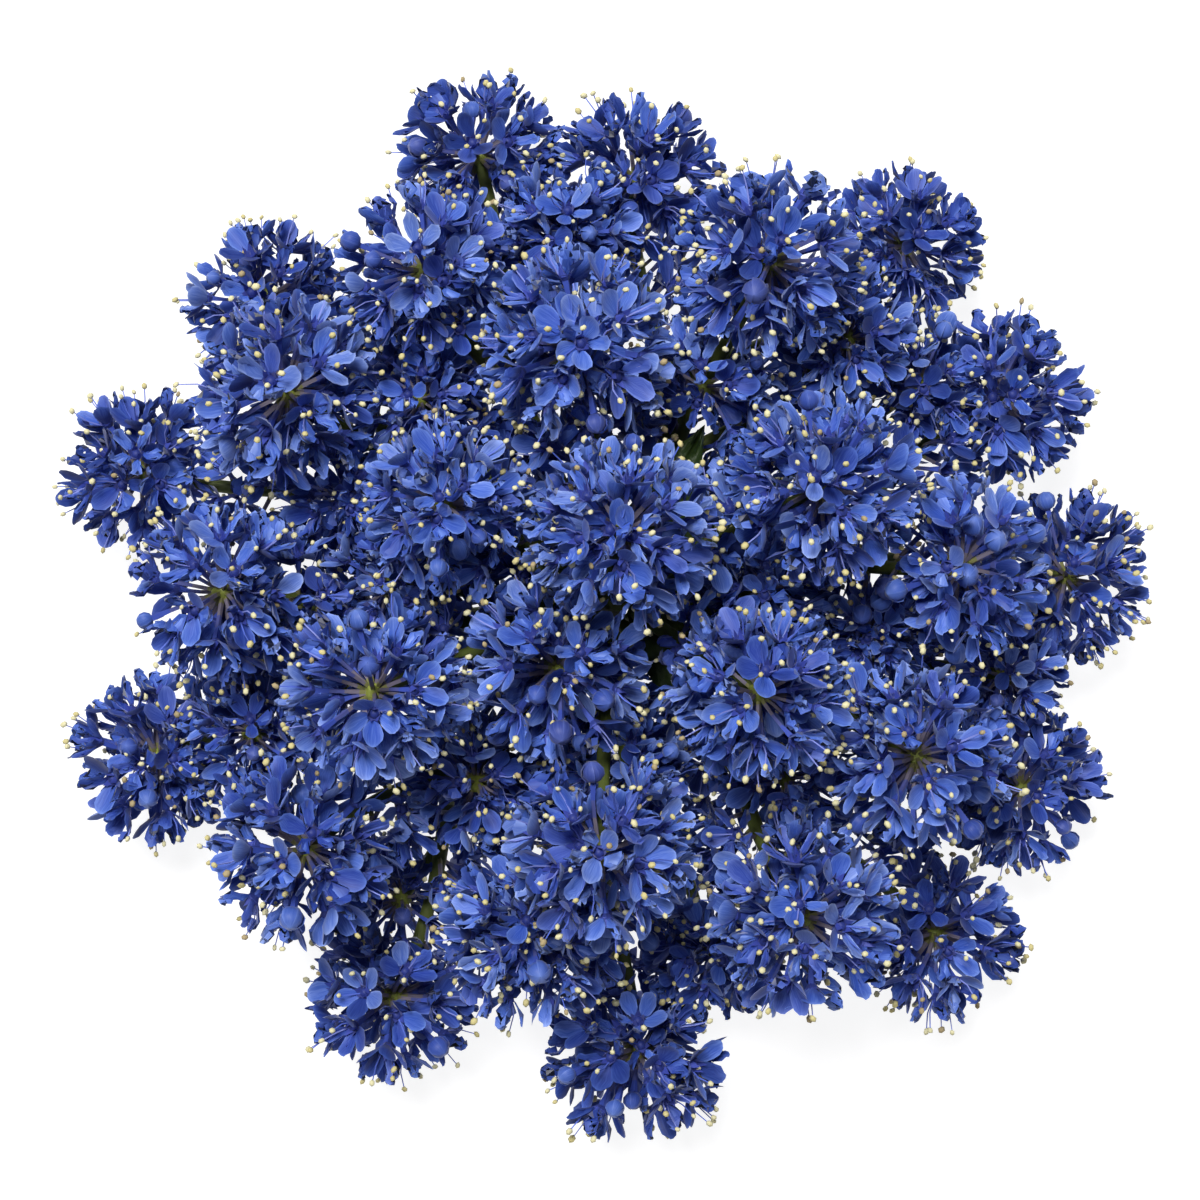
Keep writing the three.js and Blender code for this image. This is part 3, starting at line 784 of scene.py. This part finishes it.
shape_draw = np.random.RandomState(11)
for group, members in in_groups(flowers):
    stalks = [stalk_shape(flower, shape_draw) for flower in members]
    joined(f"flower_stalks_{group}", stalk_pattern, stalks, stalk_finishes)

# ---------------------------------------- flower cups
# Under the petals each flower has a small cup with a fleshy disc in it, and a low ovary in the middle.
# Five pointed sepals of a violet blue stand up on the cup's rim, between the petals.

CUP_SIDES = 5
CUP_FOOT_RADIUS, CUP_RIM_RADIUS, CUP_HEIGHT = 0.3, 0.78, 0.6
CUP_STEPS = [(0.16, -0.16), (0.16, 0.3), (0.14, 0.12)]  # each inner ring's step in and up
SEPAL_SIZE = np.array([0.46, 1.1, -0.12])  # its foot's half width, its length and its thickness

cup_middle = (0, 0, CUP_HEIGHT / 2)
bpy.ops.mesh.primitive_cone_add(
    vertices=CUP_SIDES, radius1=CUP_FOOT_RADIUS, radius2=CUP_RIM_RADIUS, depth=CUP_HEIGHT, location=cup_middle
)
cup_model = bpy.context.object
bpy.ops.object.mode_set(mode="EDIT")
pick(cup_model, "FACE", lambda middle: middle.z > 0.98 * CUP_HEIGHT / 2)
for inset, rise in CUP_STEPS:
    bpy.ops.mesh.inset(thickness=inset)
    bpy.ops.transform.translate(value=(0, 0, rise))
bpy.ops.object.mode_set(mode="OBJECT")
cup_pattern = Pattern(cup_model)

bpy.ops.mesh.primitive_cone_add(vertices=3, radius1=1, radius2=0, depth=1, location=(0, 0, 0.5))
sepal_pattern = Pattern(bpy.context.object)
sepal_pattern.points = sepal_pattern.points[:, [0, 2, 1]] * SEPAL_SIZE


def tilted(pattern_points, flower_rows, angle, opening, foot, size, twist=0.0):
    """Corners of a part that stands on the cup's rim at an angle round it, opened away from its axis.

    A twist about its own length lays one of its edges over the next part and the other under the last.
    """
    side, other, axis = flower_rows
    out = turned(side, other, angle)
    along = turned(axis, out, opening)
    inner = turned(-out, axis, opening)
    edge = np.cross(along, inner)
    edge, inner = turned(edge, inner, twist), turned(inner, -edge, twist)
    rows = np.array([edge * size[0], along * size[1], inner * size[2]])
    return foot[0] * out + foot[1] * axis + pattern_points @ rows


def petal_blue(name, base, edge):
    """Soft matt petal: faint veins that run along it, a paler edge that is a painted highlight, a little
    paler towards its tip, and a velvety sheen.
    """
    constants = {"Sheen Weight": 0.14, "Sheen Roughness": 0.4, "Specular IOR Level": 0.3}
    finish = Finish(name, colour(*base), constants)
    along = finish.node("ShaderNodeUVMap", {"uv_map": "PieceMap"}, {})
    drift = finish.stretched(finish.place(), 60, 60, 60)
    narrowed = finish.stretched(along, 11, 0.9, 1)
    veined = finish.node("ShaderNodeVectorMath", {"operation": "ADD"}, {0: narrowed, 1: drift})
    vein = finish.noise(veined, 2.0, 2)
    parts = finish.node("ShaderNodeSeparateXYZ", {}, {"Vector": along})
    across = Value(finish, parts.socket.node.outputs[0])
    length = Value(finish, parts.socket.node.outputs[1])
    off_middle = (across - 0.5).math("ABSOLUTE") * 2
    # The pale band round the edge is a painted highlight.
    painted_rim_highlight = off_middle.math("MAXIMUM", length).math("POWER", 6.0)
    # light is how much of the paler colour shows: along the real veins, a little more towards the tip, and in
    # the painted rim highlight.
    light = (vein - 0.4).math("MAXIMUM", 0.0) * 1.2 + painted_rim_highlight * 0.75 + length * 0.12
    finish.paint(finish.mix(light.math("MINIMUM", 1.0), finish.base, colour(*edge)))
    finish.roughen(vein * 0.25 + 0.42)
    return finish


sepal_violet = petal_blue("sepal_violet", (52, 66, 154), (90, 104, 192))
cup_blue = petal_blue("cup_blue", (38, 50, 120), (60, 74, 150))

# ---------------------------------------- petals
# Five soft blue petals to a flower. Each is a small spoon on a narrow claw, hollow towards the flower's
# middle, with a rounded tip that may curl in like a hood, and they stand open to different widths.

PETALS = 5
PETAL_LENGTH = 3.05
PETAL_HALF = 1.1
PETAL_TWIST = 0.24
PETAL_COLUMNS, PETAL_SKIN = 4, 0.08
PETAL_OPENINGS = (30, 54)  # degrees away from the flower's axis
FLOWER_SIZES, PETAL_WIDTHS, PETAL_LENGTHS = (0.93, 1.07), (0.86, 1.1), (0.9, 1.07)
OPENING_SCATTER, PLACE_SCATTER, TWIST_SCATTER = 0.1, 0.08, 0.08
FLAT_BOWL, HOODED_BOWL = (0.3, -0.35), (0.62, 0.45)  # each its depth and its curl
HOOD_POWER = 1.4  # the further over 1, the fewer petals are hooded
BOWL_MIDDLE, BOWL_HALF = 0.6, 0.42
RIM_RADIUS, SEPAL_FOOT, PETAL_FOOT = 0.5, 0.42, 0.45  # where on the cup sepals and petals stand
SEPAL_OPENINGS = (-0.1, 0.35)  # radians
# Half width, height of the middle and drop towards the edges of each row of corners, from claw to tip.
PETAL_ROWS = [(0.24, 0, 0), (0.74, 0.3, 0.02), (1, 0.6, 0.09), (0.92, 0.86, 0.13), (0.52, 1, 0.07)]


def petal_row(share):
    return PETAL_ROWS[round(share * (len(PETAL_ROWS) - 1))]


def petal_outline(across, share):
    """A spoon: a narrow claw, then a round blade whose rows of corners arch like its tip."""
    half, middle, drop = petal_row(share)
    return Vector((PETAL_HALF * half * across, PETAL_LENGTH * (middle - drop * across**2), 0))


def petal_bowl(depth, curl):
    """A hollow as deep as depth whose rim lies in one plane, which then curls in or out along the petal."""
    def lift(across, share):
        half, middle, _ = petal_row(share)
        from_middle = (half * across) ** 2 + min(1, ((middle - BOWL_MIDDLE) / BOWL_HALF) ** 2)
        return depth * (from_middle - 1) + curl * share**2
    return lift


petal_pattern, hooded_pattern = (
    Pattern(blade(PETAL_COLUMNS, len(PETAL_ROWS) - 1, petal_outline, petal_bowl(*bowl), PETAL_SKIN))
    for bowl in (FLAT_BOWL, HOODED_BOWL)
)

# The deep and shade blues go mostly to low flowers as painted shade, and the bright and soft ones to high
# flowers as painted light.
petal_blues = [
    petal_blue("petal_blue", (43, 75, 170), (110, 140, 218)),
    petal_blue("petal_bright", (60, 95, 189), (134, 160, 230)),
    petal_blue("petal_deep", (31, 55, 145), (86, 114, 196)),
    petal_blue("petal_soft", (72, 102, 185), (146, 168, 226)),
    petal_blue("petal_violet", (46, 69, 158), (106, 128, 207)),
    petal_blue("petal_shade", (26, 46, 121), (66, 92, 168)),
]
# Shade and light are painted by height: the lower a flower stands in the head, the more it takes the deeper
# blues as painted shade, and the higher, the more it takes the paler blues as painted light.
SHADED_LOW_ODDS = np.array([0.16, 0.02, 0.38, 0, 0.06, 0.38])
LIT_HIGH_ODDS = np.array([0.34, 0.32, 0.04, 0.2, 0.1, 0])
PAINTED_LIGHT_FROM, PAINTED_LIGHT_TO = 10, 32
SAME_SHADE = 0.75  # of a flower's petals have its own shade

look = np.random.RandomState(23)
for group, members in in_groups(open_flowers):
    cups, sepals, petals, petal_shades = [], [], [], []
    for flower in members:
        flower.rows = basis(flower.aim, look.uniform(0, 2 * math.pi))
        flower.size = math.sqrt(flower.umbel.radius / TYPICAL_RADIUS) * look.uniform(*FLOWER_SIZES)
        flower_opening = math.radians(look.uniform(*PETAL_OPENINGS))
        # From 0 low in the head to 1 high up: how far its blues move from painted shade to painted light.
        painted_light = np.interp(flower.base[2], (PAINTED_LIGHT_FROM, PAINTED_LIGHT_TO), (0, 1))
        odds = SHADED_LOW_ODDS * (1 - painted_light) + LIT_HIGH_ODDS * painted_light
        shade = look.choice(len(petal_blues), p=odds)
        cups.append(flower.base + cup_pattern.points * flower.size @ flower.rows)
        for i in range(PETALS):
            angle = 2 * math.pi * i / PETALS
            between = angle + math.pi / PETALS
            opening = look.uniform(*SEPAL_OPENINGS)
            size = np.full(3, flower.size)
            foot = (RIM_RADIUS * flower.size, SEPAL_FOOT * flower.size)
            shape = tilted(sepal_pattern.points, flower.rows, between, opening, foot, size)
            sepals.append(flower.base + shape)
            hood = look.uniform(0, 1) ** HOOD_POWER
            points = petal_pattern.points * (1 - hood) + hooded_pattern.points * hood
            size = flower.size * np.array([look.uniform(*PETAL_WIDTHS), look.uniform(*PETAL_LENGTHS), 1])
            opening = flower_opening + look.normal(0, OPENING_SCATTER)
            foot = (RIM_RADIUS * flower.size, PETAL_FOOT * flower.size)
            twist = PETAL_TWIST + look.normal(0, TWIST_SCATTER)
            angle += look.normal(0, PLACE_SCATTER)
            shape = tilted(points, flower.rows, angle, opening, foot, size, twist)
            petals.append(flower.base + shape)
            petal_shades.append(shade if look.rand() < SAME_SHADE else look.choice(len(petal_blues), p=odds))
    joined(f"flower_cups_{group}", cup_pattern, cups, [cup_blue])
    joined(f"sepals_{group}", sepal_pattern, sepals, [sepal_violet])
    nodes = [f"umbel_{seed:02d}" for seed in GROUPS[group]]
    joined(f"petals_{group}", petal_pattern, petals, petal_blues, nodes, petal_shades)

# ---------------------------------------- stamens
# Pale blue filaments stand out of the open flowers, further than the petals reach. Each carries a small
# plump anther dusted with cream yellow pollen. Fewer than half of a flower's five are left.

STAMEN_ODDS = 0.46
STAMEN_LEANS = (0.1, 0.62)
FILAMENT_SIDES, FILAMENT_RINGS = 3, 2
FILAMENT_REACHES = (2.7, 3.7)
FILAMENT_FOOT_RADIUS, FILAMENT_TIP_RADIUS = 0.085, 0.06
FILAMENT_ROOT = 0.35  # out from the flower's axis and up in the cup
FILAMENT_BEND, BEND_LEAN = 0.55, 0.3  # how far along it bends, and how much further it leans up to there
ANTHER_SIZE = np.array([0.31, 0.25, 0.38])
filament_pattern = straight_rod(FILAMENT_SIDES, FILAMENT_RINGS)

bpy.ops.mesh.primitive_ico_sphere_add(subdivisions=1, radius=1)
anther_pattern = Pattern(bpy.context.object)
anther_pattern.points *= ANTHER_SIZE

filament_finishes = [
    thread_finish("filament_blue", (98, 120, 210), (76, 98, 194)),
    thread_finish("filament_pale", (146, 156, 222), (114, 126, 206)),
]


def pollen(name, base, other):
    """Dry pollen, grainy and quite matt."""
    finish = Finish(name, colour(*base), {"Specular IOR Level": 0.2, "Roughness": 0.85})
    grain = finish.noise(finish.place(), 5200)
    finish.paint(finish.mix(grain, colour(*other), finish.base))
    finish.raise_by(grain, 0.00006)
    return finish


anther_finishes = [
    pollen("anther_cream", (240, 234, 196), (214, 206, 152)),
    pollen("anther_yellow", (226, 216, 160), (198, 184, 122)),
    pollen("anther_tan", (194, 178, 138), (160, 140, 102)),
]
ANTHER_ODDS = [0.55, 0.33, 0.12]

look = np.random.RandomState(37)
for group, members in in_groups(open_flowers):
    threads, thread_shades, anthers, anther_shades = [], [], [], []
    for flower in members:
        side, other, axis = flower.rows
        for i in range(PETALS):
            if look.rand() > STAMEN_ODDS:
                continue
            angle = 2 * math.pi * i / PETALS + look.normal(0, 0.25)
            out = turned(side, other, angle)
            lean = look.uniform(*STAMEN_LEANS)
            reach = look.uniform(*FILAMENT_REACHES) * flower.size
            root = flower.base + (FILAMENT_ROOT * out + FILAMENT_ROOT * axis) * flower.size
            tip = root + reach * turned(axis, out, lean)
            bend = root + FILAMENT_BEND * reach * turned(axis, out, lean + BEND_LEAN)
            radii = (FILAMENT_FOOT_RADIUS * flower.size, FILAMENT_TIP_RADIUS * flower.size)
            thread = Limb(root, bend, tip, *radii)
            threads.append(thread.skin(filament_pattern.points, lambda angle, share: 0))
            thread_shades.append(look.randint(2))
            heading = thread.along(1.0) + look.normal(0, 0.5, 3)
            rows = basis(heading / np.linalg.norm(heading), look.uniform(0, math.pi))
            anthers.append(tip + anther_pattern.points * flower.size * look.uniform(0.85, 1.15) @ rows)
            anther_shades.append(look.choice(3, p=ANTHER_ODDS))
    joined(f"filaments_{group}", filament_pattern, threads, filament_finishes, tints=thread_shades)
    joined(f"anthers_{group}", anther_pattern, anthers, anther_finishes, tints=anther_shades)

# ---------------------------------------- buds
# About one flower in ten is still a closed bud: a small ball of five sepals that close edge over edge,
# so that five shallow seams run together at its top.

BUD_SEPALS = 5
BUD_OVERLAP = 1.12  # width of a sepal over an even fifth of the ball
BUD_STEP = 0.12  # how far one edge stands over the next sepal's, as a share of the bud's radius
BUD_ROWS, BUD_COLUMNS, BUD_SKIN = 5, 3, 0.14
BUD_SIZES = (0.56, 0.84)
BUD_ODDS = [0.45, 0.33, 0.22]


def bud_gore(across, share):
    """A fifth of a ball round +Y, whose middle faces +Z."""
    round_axis = across * BUD_OVERLAP * math.pi / BUD_SEPALS
    from_foot = math.pi * (0.04 + 0.95 * share)
    radius = 1 + BUD_STEP * across
    out = radius * math.sin(from_foot)
    return Vector((out * math.sin(round_axis), 1 - math.cos(from_foot), out * math.cos(round_axis)))


bud_pattern = Pattern(blade(BUD_COLUMNS, BUD_ROWS, bud_gore, lambda across, share: 0, BUD_SKIN))

bud_finishes = [
    petal_blue("bud_blue", (58, 87, 170), (106, 132, 206)),
    petal_blue("bud_deep", (43, 66, 148), (86, 110, 190)),
    petal_blue("bud_violet", (48, 64, 138), (90, 106, 180)),
]
look = np.random.RandomState(41)
bud_corners, bud_shades = [], []
for bud in buds:
    side, other, axis = basis(bud.aim, look.uniform(0, 2 * math.pi))
    size = bud.spread * look.uniform(*BUD_SIZES)
    shade = look.choice(len(bud_finishes), p=BUD_ODDS)
    for i in range(BUD_SEPALS):
        out = turned(side, other, 2 * math.pi * i / BUD_SEPALS)
        rows = np.array([np.cross(axis, out), axis, out])
        bud_corners.append(bud.base + size * bud_pattern.points @ rows)
        bud_shades.append(shade)
joined("buds", bud_pattern, bud_corners, bud_finishes, tints=bud_shades)

# ---------------------------------------- table, light and camera
# A plain white table top, which glows a little so that it stays even and white under the head. A soft
# key lamp hangs over it to one side, a weak one fills from the other, and the room is dim and white.
# The camera looks straight down on the head.

TABLE_SIZE = 12  # metres
TABLE_GLOW = 0.88
ROOM_LIGHT = 0.045
CAMERA_PLACE = np.array([-0.5, -0.2, 250])
CAMERA_LENS = 71.8

bpy.ops.mesh.primitive_plane_add(size=TABLE_SIZE)
table = bpy.context.object
table.name = "table"
table_white = Finish("table_white", (0.3, 0.3, 0.3, 1), {"Roughness": 0.9, "Specular IOR Level": 0.1})
table_white.feed(table_white.shader.inputs["Emission Color"], (1, 1, 1, 1))
table_white.feed(table_white.shader.inputs["Emission Strength"], TABLE_GLOW)
table.data.materials.append(table_white.material)

room = bpy.data.worlds.new("room")
bpy.context.scene.world = room
room.use_nodes = True
background = room.node_tree.nodes["Background"]
background.inputs["Color"].default_value = (1, 1, 1, 1)
background.inputs["Strength"].default_value = ROOM_LIGHT


def lamp(name, place, size, power):
    """A square soft lamp that faces the head. Its place and size are metres."""
    light = bpy.data.lights.new(name, "AREA")
    light.energy, light.size = power, size
    made = bpy.data.objects.new(name, light)
    made.location = place
    made.rotation_euler = (-Vector(place)).to_track_quat("-Z", "Y").to_euler()
    bpy.context.collection.objects.link(made)


lamp("key_lamp", (-0.12, 0.3, 0.72), 0.26, 7.4)
lamp("fill_lamp", (0.3, -0.25, 0.7), 0.6, 0.5)

camera_data = bpy.data.cameras.new("camera")
camera_data.lens = CAMERA_LENS
camera_data.clip_start = 0.01
camera = bpy.data.objects.new("camera", camera_data)
camera.location = CAMERA_PLACE * MM
bpy.context.collection.objects.link(camera)
bpy.context.scene.camera = camera
bpy.context.scene.view_settings.view_transform = "Standard"
